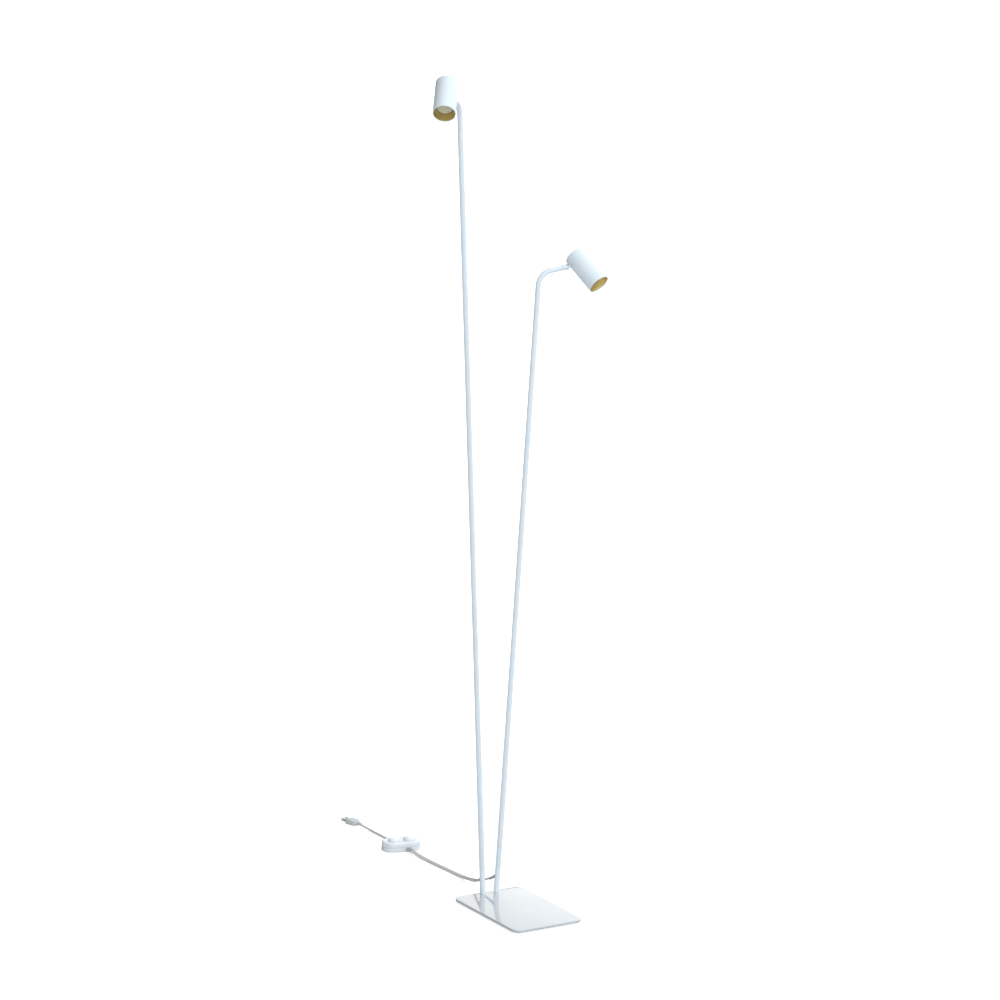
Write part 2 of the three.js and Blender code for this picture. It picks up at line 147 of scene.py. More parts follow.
def spun(name, profile, steps=64):
    # turned piece about Z: draws the profile vertex by vertex, then spins it
    deselectAll()
    bpy.ops.mesh.primitive_plane_add(size=mm)
    piece = named(name)
    openEdit(piece, "VERT")
    bpy.ops.mesh.select_all(action="SELECT")
    bpy.ops.mesh.merge(type="CENTER")
    bpy.ops.transform.translate(value=(profile[0][0] * mm, 0, profile[0][1] * mm))
    for here, there in zip(profile, profile[1:]):
        step = ((there[0] - here[0]) * mm, 0, (there[1] - here[1]) * mm)
        bpy.ops.mesh.extrude_vertices_move(TRANSFORM_OT_translate={"value": step})
    bpy.ops.mesh.select_all(action="SELECT")
    bpy.ops.mesh.spin(steps=steps, angle=2 * pi, center=(0, 0, 0), axis=(0, 0, 1))
    closeEdit()
    return cleaned(piece)


def cylinder(name, radius, low, high, sides=32, turn=(0, 0, 0), at=(0, 0, 0)):
    # stands on Z from low to high, then is turned about X, Y and Z and moved
    deselectAll()
    bpy.ops.mesh.primitive_cylinder_add(vertices=sides, radius=radius * mm, depth=(high - low) * mm,
                                        location=(0, 0, (high + low) / 2 * mm))
    piece = applied(named(name))
    x, y, z = [Matrix.Rotation(radians(angle), 4, axis) for angle, axis in zip(turn, "XYZ")]
    return placed(piece, Matrix.Translation(Vector(at) * mm) @ z @ y @ x)


def box(name, size, at=(0, 0, 0)):
    deselectAll()
    bpy.ops.mesh.primitive_cube_add(size=1, location=Vector(at) * mm)
    piece = named(name)
    piece.scale = Vector(size) * mm
    return applied(piece)


def applied(piece):
    onlySelect(piece)
    bpy.ops.object.transform_apply(location=True, rotation=True, scale=True)
    return piece


def placed(piece, matrix):
    piece.matrix_world = matrix @ piece.matrix_world
    return applied(piece)


def keepOwnPlace(piece):
    # stores each vertex's place on the piece itself, so that turned marks follow its axis
    place = piece.data.attributes.new("ownPlace", "FLOAT_VECTOR", "POINT")
    for vertex in piece.data.vertices:
        place.data[vertex.index].vector = vertex.co
    return piece


def finishPiece(piece, matrix, body, look, slot, *replaced):
    keepOwnPlace(piece)
    placed(piece, matrix)
    piece.data.materials.clear()
    piece.data.materials.append(look)
    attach(piece, body)
    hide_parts(*replaced)
    return piece


# Camera

camera = {"distance": 8.28, "azimuth": -36.3605, "elevation": 19.2284, "aim": 0.6876, "down": 13.1107,
          "roll": 3.5764, "lens": 137.38, "reach": 200}


def addCamera():
    azimuth, elevation = radians(camera["azimuth"]), radians(camera["elevation"])
    aim = radians(camera["azimuth"] + camera["aim"])
    down, roll = radians(camera["down"]), radians(camera["roll"])
    place = Vector((sin(azimuth) * cos(elevation), -cos(azimuth) * cos(elevation), sin(elevation)))
    forward = Vector((-sin(aim) * cos(down), cos(aim) * cos(down), -sin(down)))
    right = Vector((cos(aim), sin(aim), 0))
    up = right.cross(forward)
    tiltedRight = right * cos(roll) + up * sin(roll)
    tiltedUp = up * cos(roll) - right * sin(roll)
    deselectAll()
    bpy.ops.object.camera_add()
    view = bpy.context.object
    view.name = "viewpoint"
    facing = Matrix((tiltedRight, tiltedUp, -forward)).transposed().to_4x4()
    view.matrix_world = Matrix.Translation(place * camera["distance"]) @ facing
    view.data.lens = camera["lens"]
    view.data.clip_end = camera["reach"]
    bpy.context.scene.camera = view


addCamera()
print("camera placed")


# Finishes

def linear(hexColour):
    channels = [int(hexColour[i:i + 2], 16) / 255 for i in (0, 2, 4)]
    return [c / 12.92 if c <= 0.04045 else ((c + 0.055) / 1.055) ** 2.4 for c in channels] + [1]


def node(tree, kind, settings=None, links=None):
    # one node, its settings by property or socket name, and its links as (socket, node, output)
    made = tree.nodes.new(kind)
    for key, value in (settings or {}).items():
        if hasattr(made, key) and key not in made.inputs:
            setattr(made, key, value)
        else:
            made.inputs[key].default_value = value
    for key, source, output in links or []:
        tree.links.new(source.outputs[output], made.inputs[key])
    return made


def finish(name, shader, colours, patch, bumps, roughness=None, own=False):
    # colours are the two ends of a slow drift over patches of that many mm
    # bumps are (kind, size in mm, height in mm, stretch), roughness is (least, most, patch in mm)
    material = bpy.data.materials.new(name)
    material.use_nodes = True
    tree = material.node_tree
    tree.nodes.clear()
    if own:
        place = node(tree, "ShaderNodeAttribute", {"attribute_name": "ownPlace"})
        output = "Vector"
    else:
        place = node(tree, "ShaderNodeTexCoord")
        output = "Object"
    surface = node(tree, "ShaderNodeBsdfPrincipled", shader)
    drift = node(tree, "ShaderNodeTexNoise", {"Scale": 1 / (patch * mm), "Detail": 3.0},
                 [("Vector", place, output)])
    ramp = node(tree, "ShaderNodeValToRGB", None, [("Fac", drift, "Fac")])
    for stop, colour, at in zip(ramp.color_ramp.elements, colours, (0.3, 0.7)):
        stop.color = linear(colour)
        stop.position = at
    tree.links.new(ramp.outputs["Color"], surface.inputs["Base Color"])
    if roughness:
        smear = node(tree, "ShaderNodeTexNoise", {"Scale": 1 / (roughness[2] * mm), "Detail": 4.0},
                     [("Vector", place, output)])
        spread = node(tree, "ShaderNodeMapRange", {"To Min": roughness[0], "To Max": roughness[1]},
                      [("Value", smear, "Fac")])
        tree.links.new(spread.outputs["Result"], surface.inputs["Roughness"])
    previous = None
    for kind, size, height, stretch in bumps:
        mapping = node(tree, "ShaderNodeMapping", {"Scale": stretch}, [("Vector", place, output)])
        if kind == "cells":
            texture = node(tree, "ShaderNodeTexVoronoi", {"Scale": 1 / (size * mm)},
                           [("Vector", mapping, "Vector")])
            value = "Distance"
        else:
            texture = node(tree, "ShaderNodeTexNoise", {"Scale": 1 / (size * mm), "Detail": 2.0},
                           [("Vector", mapping, "Vector")])
            value = "Fac"
        bump = node(tree, "ShaderNodeBump", {"Strength": 1.0, "Distance": height * mm},
                    [("Height", texture, value)])
        if previous:
            tree.links.new(previous.outputs["Normal"], bump.inputs["Normal"])
        previous = bump
    if previous:
        tree.links.new(previous.outputs["Normal"], surface.inputs["Normal"])
    node(tree, "ShaderNodeOutputMaterial", None, [("Surface", surface, "BSDF")])
    return material


even = (1, 1, 1)

# Gloss powder coat on steel: very light, a faint orange peel a millimetre or two across
powderWhite = finish("powderCoatWhite",
                     {"Roughness": 0.2, "Coat Weight": 0.55, "Coat Roughness": 0.06, "IOR": 1.5},
                     ("E8F0F6", "EDF4F9"), 60, [("noise", 1.6, 0.006, even)], (0.17, 0.26, 25))
# Thicker gloss coat on the plate, coloured a shade greyer than the tubes' coat as painted shade for the
# weaker light on the plate's top face; mirror-like at a low angle, with softer orange peel
plateCoatPaintedShade = finish("glossPlatePaintedShade",
                   {"Roughness": 0.12, "Coat Weight": 1.0, "Coat Roughness": 0.03, "IOR": 1.55},
                   ("C6CACD", "CCD0D3"), 90, [("noise", 3.5, 0.004, even)], (0.1, 0.17, 40))
# Gold anodised spun aluminium: satin, with fine turning marks round the axis
goldAnodised = finish("goldAnodisedAluminium", {"Metallic": 1.0, "Roughness": 0.36},
                      ("D6BF84", "E4D097"), 14, [("noise", 0.8, 0.01, (0.05, 0.05, 2.5))], (0.3, 0.42, 5),
                      own=True)
# Vacuum-metallised reflector inside the lamp: bright, slightly yellow
lampReflector = finish("aluminisedReflector", {"Metallic": 1.0, "Roughness": 0.12},
                       ("E8DFC6", "F2EBD8"), 9, [("cells", 3, 0.12, even)], None, own=True)
# Frosted pressed glass front of a reflector lamp: dimpled, so it looks milky and warm
pressedGlass = finish("frostedPressedGlass", {"Roughness": 0.3, "IOR": 1.5, "Transmission Weight": 0.12,
                                              "Coat Weight": 0.3}, ("EAE4CC", "F4F0DC"), 8,
                      [("cells", 2.2, 0.18, even)], (0.24, 0.36, 4), own=True)
# Zinc-plated steel: grey, a little cloudy
zincSteel = finish("zincPlatedSteel", {"Metallic": 1.0, "Roughness": 0.34}, ("A9ADB2", "C6C9CC"), 6,
                   [("noise", 0.5, 0.006, even)], (0.28, 0.44, 4))
# Nickel-plated brass blades: drawn along their length, warm grey
nickelBrass = finish("nickelPlatedBrass", {"Metallic": 1.0, "Roughness": 0.26}, ("BDB8AC", "D2CDC1"), 8,
                     [("noise", 0.35, 0.006, (1, 0.08, 1))], (0.2, 0.34, 3), own=True)
# Extruded PVC sheath: satin warm grey, faint lengthwise drift
pvcSheath = finish("extrudedPvcSheath", {"Roughness": 0.42, "IOR": 1.53, "Specular IOR Level": 0.45},
                   ("CFCCC8", "D6D3CF"), 30, [("noise", 0.9, 0.03, even)], (0.36, 0.5, 12))
# Moulded PVC reliefs, same compound as the sheath, spark-eroded texture
pvcMoulded = finish("mouldedPvc", {"Roughness": 0.5, "IOR": 1.53}, ("ADAAA6", "B7B4B0"), 12,
                    [("noise", 0.45, 0.03, even)], (0.44, 0.6, 6))
# Moulded light-grey plug: satin, fine spark-eroded grain
plugPvc = finish("mouldedPlugPvc", {"Roughness": 0.45, "IOR": 1.53}, ("C9CACB", "D4D5D6"), 12,
                 [("noise", 0.5, 0.03, even)], (0.38, 0.54, 5))
# Moulded ABS shells of the switch: white, satin with a fine grain
switchAbs = finish("mouldedAbs", {"Roughness": 0.3, "IOR": 1.54, "Coat Weight": 0.15},
                   ("E9ECF0", "F2F4F6"), 25,
                   [("noise", 0.6, 0.014, even)], (0.24, 0.36, 9))
# Polished ABS buttons: hard gloss with the faintest sink marks
buttonAbs = finish("polishedAbs", {"Roughness": 0.1, "IOR": 1.54, "Coat Weight": 0.6, "Coat Roughness": 0.04},
                   ("ECEEF2", "F4F5F8"), 14, [("noise", 5, 0.02, even)], (0.07, 0.13, 8))
# Closed-cell foam pad: charcoal, pitted
evaFoam = finish("closedCellFoam", {"Roughness": 0.95, "IOR": 1.45}, ("262628", "343437"), 5,
                 [("cells", 0.9, 0.25, even)], (0.85, 0.98, 4))
# Natural nylon bush: waxy off-white
nylon = finish("naturalNylon", {"Roughness": 0.5, "IOR": 1.53, "Subsurface Weight": 0.1},
               ("DAD5C6", "E6E2D6"), 8, [("noise", 0.8, 0.02, even)], (0.4, 0.58, 5))
# Steatite ceramic of cap and holder: matt cream with a fine tooth
steatite = finish("steatiteCeramic", {"Roughness": 0.62, "IOR": 1.6}, ("E6DFCC", "F0EADB"), 7,
                  [("noise", 0.5, 0.03, even)], (0.52, 0.7, 4))
# PVC insulation of the wire inside the tubes
wirePvc = finish("insulatedWirePvc", {"Roughness": 0.45, "IOR": 1.53}, ("8A5A3C", "9A6848"), 10,
                 [("noise", 0.8, 0.02, even)], (0.38, 0.55, 6))
# Phenolic contact blocks: near-black, matt
phenolic = finish("phenolicMoulding", {"Roughness": 0.55, "IOR": 1.58}, ("1F1F21", "2B2B2E"), 6,
                  [("noise", 0.5, 0.03, even)], (0.45, 0.65, 4))

kept = {
    "foot_screw": zincSteel, "turn_bush": nylon, "inner_wire": wirePvc, "stem_nut": zincSteel,
    "lamp_cap": steatite, "lamp_holder": steatite, "holder_bracket": zincSteel, "switch_screw": zincSteel,
    "contact_block": phenolic, "button_spring": zincSteel,
}
for nodeName, cadNode in nodes.items():
    for start, look in kept.items():
        if nodeName.startswith(start):
            cadNode.data.materials.clear()
            cadNode.data.materials.append(look)
print("finishes made")


# Cords, on the routes that the model gives them

leadRoutes = {
    "high": [
        (-14.9, 132.9, 30.6), (-9.8, 147, 23.6), (-4, 161, 18), (1.2, 178, 13.2), (5.2, 197, 9.2),
        (7.8, 218, 5.9), (9.2, 241, 3.5), (9.2, 264, 2.5), (8.2, 285, 2.4), (6.6, 306, 2.4), (5.2, 328, 2.4),
        (4.2, 351, 2.4), (3.4, 370, 2.5), (2.6, 386, 3.3), (1.8, 401, 4.7), (1, 416.7, 6.2),
    ],
    "low": [
        (14.9, 132.9, 30.6), (12.6, 147, 23.6), (12, 161, 18), (12.4, 178, 13.2), (13.4, 197, 9.2),
        (14.5, 218, 5.9), (15.2, 241, 3.5), (15, 264, 2.5), (14, 285, 2.4), (12.4, 306, 2.4), (11, 328, 2.4),
        (10, 351, 2.4), (9.3, 370, 2.5), (8.5, 386, 3.3), (7.7, 401, 4.7), (6.9, 415.5, 6.2),
    ],
}
mainsRoute = [
    (3.4, 504.6, 6.2), (4.7, 511, 5), (5.7, 518, 3.9), (6.3, 526, 3.1), (6.6, 535, 2.6), (6.6, 544, 2.6),
    (6.4, 554, 2.6), (6.1, 564, 2.6), (5.8, 574, 2.6), (5.5, 583, 2.7), (5.1, 593, 3), (4.6, 602, 3.5),
    (3.9, 611, 4.1), (2.9, 620.5, 4.8), (1.5, 629.4, 5.5),
]
cordLook = {"lead": 4.6, "mains": 5.0, "perSpan": 8, "tuck": 1.5, "roundness": 6}


def smoothRoute(route):
    # centripetal curve through the route's points, tucked a little into the relief at each end
    points = [Vector(point) for point in route]
    ends = [points[0] * 2 - points[1], points[-1] * 2 - points[-2]]
    full = [ends[0]] + points + [ends[1]]
    line = []
    for i in range(1, len(full) - 2):
        p0, p1, p2, p3 = full[i - 1:i + 3]
        t0 = 0
        t1 = t0 + (p1 - p0).length ** 0.5
        t2 = t1 + (p2 - p1).length ** 0.5
        t3 = t2 + (p3 - p2).length ** 0.5
        for step in range(cordLook["perSpan"]):
            t = t1 + (t2 - t1) * step / cordLook["perSpan"]
            a1 = p0 * ((t1 - t) / (t1 - t0)) + p1 * ((t - t0) / (t1 - t0))
            a2 = p1 * ((t2 - t) / (t2 - t1)) + p2 * ((t - t1) / (t2 - t1))
            a3 = p2 * ((t3 - t) / (t3 - t2)) + p3 * ((t - t2) / (t3 - t2))
            b1 = a1 * ((t2 - t) / (t2 - t0)) + a2 * ((t - t0) / (t2 - t0))
            b2 = a2 * ((t3 - t) / (t3 - t1)) + a3 * ((t - t1) / (t3 - t1))
            line.append(b1 * ((t2 - t) / (t2 - t1)) + b2 * ((t - t1) / (t2 - t1)))
    line.append(points[-1])
    first = line[0] + (line[0] - line[1]).normalized() * cordLook["tuck"]
    last = line[-1] + (line[-1] - line[-2]).normalized() * cordLook["tuck"]
    return [first] + line + [last]


def addCord(name, route, diameter, cadNode):
    line = smoothRoute(route)
    data = bpy.data.curves.new(name, "CURVE")
    data.dimensions = "3D"
    data.bevel_depth = diameter / 2 * mm
    data.bevel_resolution = cordLook["roundness"]
    data.use_fill_caps = True
    spline = data.splines.new("POLY")
    spline.points.add(len(line) - 1)
    for point, place in zip(spline.points, line):
        point.co = (*(place * mm), 1)
    spline.use_smooth = True
    cord = bpy.data.objects.new(name, data)
    bpy.context.collection.objects.link(cord)
    data.materials.append(pvcSheath)
    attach(cord, base)
    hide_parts(cadNode)
    return cord, line


for name in ("high", "low"):
    addCord(f"lead_{name}_sheath", leadRoutes[name], cordLook["lead"], f"lead_{name}")
addCord("mains_lead_sheath", mainsRoute, cordLook["mains"], "mains_lead")
print("cords laid")


# Places of the stands, arms and spots, from the joints

def axes(origin, x, y, z):
    matrix = Matrix((x, y, z)).transposed().to_4x4()
    return Matrix.Translation(origin) @ matrix


def standPlace(name, turnDegrees):
    joint = joints[f"turn_{name}"]
    up = Vector(joint["axis"]).normalized()
    forward = Vector((cos(radians(turnDegrees)), sin(radians(turnDegrees)), 0))
    forward = (forward - up * forward.dot(up)).normalized()
    return axes(Vector(joint["pos_m"]), forward, up.cross(forward), up)


def armPlace(name):
    joint = joints[f"swivel_{name}"]
    along = Vector(joint["axis"]).normalized()
    pin = Vector(joints[f"tilt_{name}"]["axis"]).normalized()
    pin = (pin - along * pin.dot(along)).normalized()
    return axes(Vector(joint["pos_m"]), pin.cross(along), pin, along)


def spotPlace(name, tilt):
    arm = armPlace(name)
    return arm @ Matrix.Rotation(radians(tilt - 90), 4, "Y")


stands = {
    "high": {"turn": 220, "tilt": 36, "corner": 1720, "inward": -13},
    "low": {"turn": 346, "tilt": 15, "corner": 1355, "inward": 13},
}
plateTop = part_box("base_plate")[1].z / mm
identity = Matrix.Identity(4)


# Base plate and pad

plate = {"corner": 18, "edge": 0.9, "cornerSteps": 16, "edgeSteps": 4, "padCorner": 14, "padEdge": 0.3,
         "padCornerSteps": 10, "padEdgeSteps": 2, "below": -14, "recess": 5, "recessTop": -2.2,
         "screwHole": 2.7, "holeTop": 6}


def roundedSlab(name, low, high, corner, cornerSteps, edge, edgeSteps):
    size = (high - low) / mm
    piece = box(name, size, (high + low) / 2 / mm)
    half = size / 2

    def upright(a, b):
        return abs(a.x - b.x) < 0.01 and abs(a.y - b.y) < 0.01 and abs(abs(a.x) - half.x) < 0.01

    pick(piece, "EDGE", upright)
    bpy.ops.mesh.bevel(offset=corner * mm, segments=cornerSteps, profile=0.5, affect="EDGES")
    closeEdit()
    return softEdges(piece, edge, edgeSteps, 50)


def addBase():
    low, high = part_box("base_plate")
    body = roundedSlab("base_plate_steel", low, high, plate["corner"], plate["cornerSteps"], plate["edge"],
                       plate["edgeSteps"])
    for name in stands:
        place = standPlace(name, 0)
        recess = placed(cylinder("recess", plate["recess"], plate["below"], plate["recessTop"], 40), place)
        cut(body, recess)
        hole = placed(cylinder("hole", plate["screwHole"], plate["below"], plate["holeTop"], 32), place)
        cut(body, hole)
    smooth(body, 30)
    # the plate takes the greyer coat, whose grey is painted shade for its dimly lit top
    finishPiece(body, identity, base, plateCoatPaintedShade, "white_enamel", "base_plate")
    low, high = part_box("base_pad")
    pad = roundedSlab("base_pad_foam", low, high, plate["padCorner"], plate["padCornerSteps"],
                      plate["padEdge"], plate["padEdgeSteps"])
    smooth(pad, 30)
    finishPiece(pad, identity, base, evaFoam, "foam_pad", "base_pad")


addBase()
print("base made")


# Feet and their lead reliefs

foot = {"radius": 6, "top": 58, "chamfer": 0.35, "channel": 3.6, "spigot": 3.6, "spigotTop": 84, "bore": 2.5,
        "screwHole": 2.7, "solid": 12}
leadExit = {"height": 38, "down": 30, "hole": 3.5, "length": 26}
seat = 0.05  # how far a foot stands off the plate


def exitPlace(name):
    turn = Matrix.Rotation(radians(stands[name]["inward"]), 4, "Z")
    dip = Matrix.Rotation(radians(-90 - leadExit["down"]), 4, "X")
    return Matrix.Translation((0, 0, leadExit["height"] * mm)) @ turn @ dip


def ribbed(start, end, ribs, first, last, depth):
    # a taper with ribs: pairs of (radius, height) from start to end
    points = []
    pitch = (end - start) / ribs
    for i in range(ribs):
        z = start + pitch * i
        radius = first + (last - first) * i / ribs
        points += [(radius, z), (radius, z + pitch * 0.55), (radius - depth, z + pitch * 0.65),
                   (radius - depth, z + pitch * 0.92)]
    return points


def addFoot(name):
    place = standPlace(name, 0)
    r, top, c = foot["radius"], foot["top"], foot["chamfer"]
    profile = [
        (foot["screwHole"], -2), (r, -2), (r, top - c), (r - c, top), (foot["spigot"], top),
        (foot["spigot"], foot["spigotTop"] - 0.5), (foot["spigot"] - 0.5, foot["spigotTop"]),
        (foot["bore"], foot["spigotTop"]), (foot["bore"], top - 8), (foot["channel"], top - 8),
        (foot["channel"], foot["solid"]), (foot["screwHole"], foot["solid"]), (foot["screwHole"], -2),
    ]
    body = spun(f"foot_tube_{name}", profile, 64)
    hole = placed(cylinder("hole", leadExit["hole"], 1, 14, 32), exitPlace(name))
    cut(body, hole)
    placed(body, place)
    x, y = place.translation.xy / mm
    cut(body, box("under", (60, 60, 20), (x, y, plateTop - 10 + seat)))
    placed(body, place.inverted())
    smooth(body, 30)
    finishPiece(body, place, base, powderWhite, "white_enamel", f"foot_{name}")

    end = leadExit["length"]
    taper = [(0, 4.6), (3.2, 4.6), (3.2, 5.2), (4.2, 5.2), (4.3, 5.4), (4.3, 9.2), (4.0, 9.6), (3.3, 9.9)]
    taper += ribbed(11, 25, 5, 3.3, 2.85, 0.35)
    taper += [(2.75, 25.2), (2.75, end - 0.3), (2.5, end), (0, end)]
    relief = placed(spun(f"lead_relief_ribbed_{name}", taper, 40), exitPlace(name))
    cut(relief, cylinder("tube", foot["radius"] + 0.05, 3, top, 64))
    smooth(relief, 40)
    finishPiece(relief, place, base, pvcMoulded, "cord_sheath", f"lead_relief_{name}")


for name in stands:
    addFoot(name)
print("feet made")


# Bent stand tubes

tube = {"radius": 6, "wall": 1, "sides": 48, "seam": 58.3, "bend": 76, "bendRadius": 35, "bendSteps": 28,
        "armEnd": 52}


def addTube(name):
    bend = radians(tube["bend"])
    tangent = tube["bendRadius"] * tan(bend / 2)
    low, start = tube["seam"], stands[name]["corner"] - tangent
    deselectAll()
    bpy.ops.mesh.primitive_circle_add(vertices=tube["sides"], radius=tube["radius"] * mm,
                                      location=(0, 0, low * mm))
    piece = applied(named(f"bent_tube_{name}"))
    openEdit(piece, "EDGE")
    bpy.ops.mesh.select_all(action="SELECT")
    straight = (0, 0, (start - low) * mm)
    bpy.ops.mesh.extrude_region_move(TRANSFORM_OT_translate={"value": straight})
    bpy.ops.mesh.spin(steps=tube["bendSteps"], angle=-bend, center=(tube["bendRadius"] * mm, 0, start * mm),
                      axis=(0, 1, 0))
    reach = (tube["armEnd"] - tangent) * mm
    arm = (reach * sin(bend), 0, reach * cos(bend))
    bpy.ops.mesh.extrude_region_move(TRANSFORM_OT_translate={"value": arm})
    closeEdit()
    cleaned(piece)
    useModifier(piece, "SOLIDIFY", thickness=tube["wall"] * mm, offset=-1)
    softEdges(piece, 0.25, 2, 60)
    smooth(piece, 40)
    finishPiece(piece, standPlace(name, stands[name]["turn"]), f"stand_{name}", powderWhite, "white_enamel",
                f"stand_tube_{name}")


for name in stands:
    addTube(name)
print("stand tubes made")


# Swivel fork and tilt screw at the arm's end

fork = {"radius": 6.6, "shoulder": -13.7, "plug": 10, "slot": 4, "nose": 6.3, "screw": 1.4}


def addFork(name):
    place, r, s = armPlace(name), fork["radius"], fork["shoulder"]
    tip = s - fork["plug"]
    profile = [(0, tip), (4.2, tip), (4.7, tip + 0.6), (4.7, s), (5.7, s), (5.9, s + 0.3), (r, -6)]
    profile += [(r * cos(radians(a)), r * sin(radians(a)) * fork["nose"] / r) for a in range(0, 91, 9)]
    body = spun(f"swivel_fork_body_{name}", profile[:-1] + [(0, fork["nose"])], 64)
    cut(body, box("slot", (20, fork["slot"], 14), (0, 0, 2.4)))
    cut(body, cylinder("hole", fork["screw"] + 0.25, -10, 10, 32, (90, 0, 0)))
    softEdges(body, 0.25, 2, 50)
    smooth(body, 35)
    finishPiece(body, place, f"fork_{name}", powderWhite, "white_enamel", f"swivel_fork_{name}")

    head = r + 0.15
    profile = [(0, -6.4), (1.2, -6.4), (fork["screw"], -6.2), (fork["screw"], head), (2.7, head),
               (2.7, head + 1), (2.3, head + 1.5), (0, head + 1.5)]
    screw = spun(f"tilt_screw_socket_{name}", profile, 40)
    cut(screw, cylinder("socket", 1.15, head + 0.5, head + 3, 6))
    softEdges(screw, 0.1, 2, 50)
    placed(screw, Matrix.Rotation(radians(-90), 4, "X"))
    smooth(screw, 35)
    finishPiece(screw, place, f"fork_{name}", zincSteel, "zinc_steel", f"tilt_screw_{name}")


# Spot: stem, can, gold baffle and lamp

can = {"radius": 24, "wall": 1.4, "length": 90, "hinge": 18, "offset": 32, "round": 4, "back": 2.2,
       "lip": 0.7, "hole": 3.2}
lamp = {"face": 75, "radius": 17.5, "rear": 39}


def addSpot(name):
    place = spotPlace(name, stands[name]["tilt"])
    body = f"spot_{name}"
    inside = place @ Matrix.Translation((can["offset"] * mm, 0, -can["hinge"] * mm))
    r, w, length = can["radius"], can["wall"], can["length"]

    shell = [(0, 0)] + arc(r - can["round"], can["round"], can["round"], -90, 0, 10)
    shell += arc(r - can["lip"], length - can["lip"], can["lip"], 0, 180, 8)
    shell += [(r - w, can["back"] + 2), (r - w - 2, can["back"]), (0, can["back"])]
    piece = spun(f"spot_can_{name}", shell, 128)
    cut(piece, cylinder("hole", can["hole"], -30, -18, 32, (0, 90, 0), (0, 0, can["hinge"])))
    smooth(piece, 30)
    finishPiece(piece, inside, body, powderWhite, "white_enamel", f"can_{name}")

    eye = cylinder(f"stem_eye_{name}", 3.6, -1.7, 1.7, 40, (90, 0, 0))
    cut(eye, box("neck", (7, 3.4, 6.2), (3.7, 0, 0)), "UNION")
    shaft = spun("shaft", [(0, 6.9), (4.7, 6.9), (5, 7.1), (5, 7.6), (2.9, 7.6), (2.9, 15), (0, 15)], 40)
    placed(shaft, Matrix.Rotation(radians(90), 4, "Y"))
    cut(eye, shaft, "UNION")
    cut(eye, cylinder("pin", fork["screw"] + 0.15, -4, 4, 32, (90, 0, 0)))
    softEdges(eye, 0.15, 2, 60)
    smooth(eye, 35)
    finishPiece(eye, place, body, powderWhite, "white_enamel", f"stem_{name}")

    lip, face = r - w - 0.3, lamp["face"]
    cone = [(lip, face - 4), (lip, length - 1.6)] + arc(lip - 0.5, length - 1.6, 0.5, 0, 120, 6)
    cone += [(lip - 1.2, length - 2.4), (lamp["radius"] + 2.2, face + 4), (lamp["radius"] + 1.4, face + 1.5),
             (lamp["radius"] + 0.9, face), (lamp["radius"] + 0.9, face - 4), (lip, face - 4)]
    baffle = spun(f"gold_baffle_{name}", cone, 128)
    smooth(baffle, 35)
    finishPiece(baffle, inside, body, goldAnodised, "gold_anodised", f"baffle_{name}")

    rear, edge = lamp["rear"], lamp["radius"]
    bowl = [(0, rear), (8.2, rear), (8.5, rear + 0.4), (9.5, rear + 8), (11.6, rear + 13), (14, rear + 18),
            (16, rear + 23), (edge, rear + 28), (edge, face - 4), (edge - 1, face - 4),
            (edge - 2.4, face - 8.5), (edge - 4.6, face - 13.5), (9.6, face - 17.5), (5.8, face - 20.7),
            (0, face - 22)]
    reflector = spun(f"lamp_reflector_{name}", bowl, 64)
    smooth(reflector, 50)
    finishPiece(reflector, inside, body, lampReflector, "lamp_reflector", f"lamp_bowl_{name}")

    lens = [(0, face - 3.8), (edge, face - 3.8), (edge, face - 2.6), (edge - 0.4, face - 2.2)]
    for i in range(5):
        outer, inner = edge - 1.2 - 3 * i, edge - 3.9 - 3 * i
        ring = face - 1.6 + 0.1 * i
        lens += [(outer, face - 2.1), (outer - 0.5, ring), (inner + 0.5, ring)]
    lens += [(0, face - 1)]
    glass = spun(f"lamp_lens_ringed_{name}", lens, 64)
    smooth(glass, 30)
    finishPiece(glass, inside, body, pressedGlass, "lamp_glass", f"lamp_lens_{name}")


for name in stands:
    addFork(name)
    addSpot(name)
print("spots made")


# Foot switch

switch = {"x": -0.5, "y": 459, "yaw": -11, "length": 90, "width": 46, "seam": 9, "height": 21, "wall": 2,
          "crown": 3.4, "cordHeight": 6.2, "leads": (7, 13), "leadTurn": 8, "leadSlot": 2.75,
          "mains": -5, "mainsSlot": 3.1, "button": 12, "spread": 19, "domeBase": 23.6, "domeRise": 3.8}


def switchPlace():
    turn = Matrix.Rotation(radians(switch["yaw"]), 4, "Z")
    return Matrix.Translation((switch["x"] * mm, switch["y"] * mm, 0)) @ turn


def stadium(name, low, high, inset=0):
    length, width = switch["length"] - 2 * inset, switch["width"] - 2 * inset
    piece = box(name, (length, width, high - low), (0, 0, (low + high) / 2))

    def upright(a, b):
        return abs(a.x - b.x) < 0.01 and abs(a.y - b.y) < 0.01

    pick(piece, "EDGE", upright)
    bpy.ops.mesh.bevel(offset=(width / 2 - 0.5) * mm, segments=24, profile=0.5, affect="EDGES")
    closeEdit()
    return piece


def hollowed(piece, z, normal, wall, depth):
    pick(piece, "FACE", lambda middle, out: abs(middle.z - z) < 0.05 and out.z * normal > 0.9)
    bpy.ops.mesh.inset(thickness=wall * mm)
    bpy.ops.mesh.extrude_region_move(TRANSFORM_OT_translate={"value": (0, 0, -normal * depth * mm)})
    closeEdit()
    return piece


def rimBevel(piece, z, width, segments):
    pick(piece, "EDGE", lambda a, b: abs(a.z - z) < 0.01 and abs(b.z - z) < 0.01)
    bpy.ops.mesh.bevel(offset=width * mm, segments=segments, profile=0.5, affect="EDGES")
    closeEdit()
    return piece


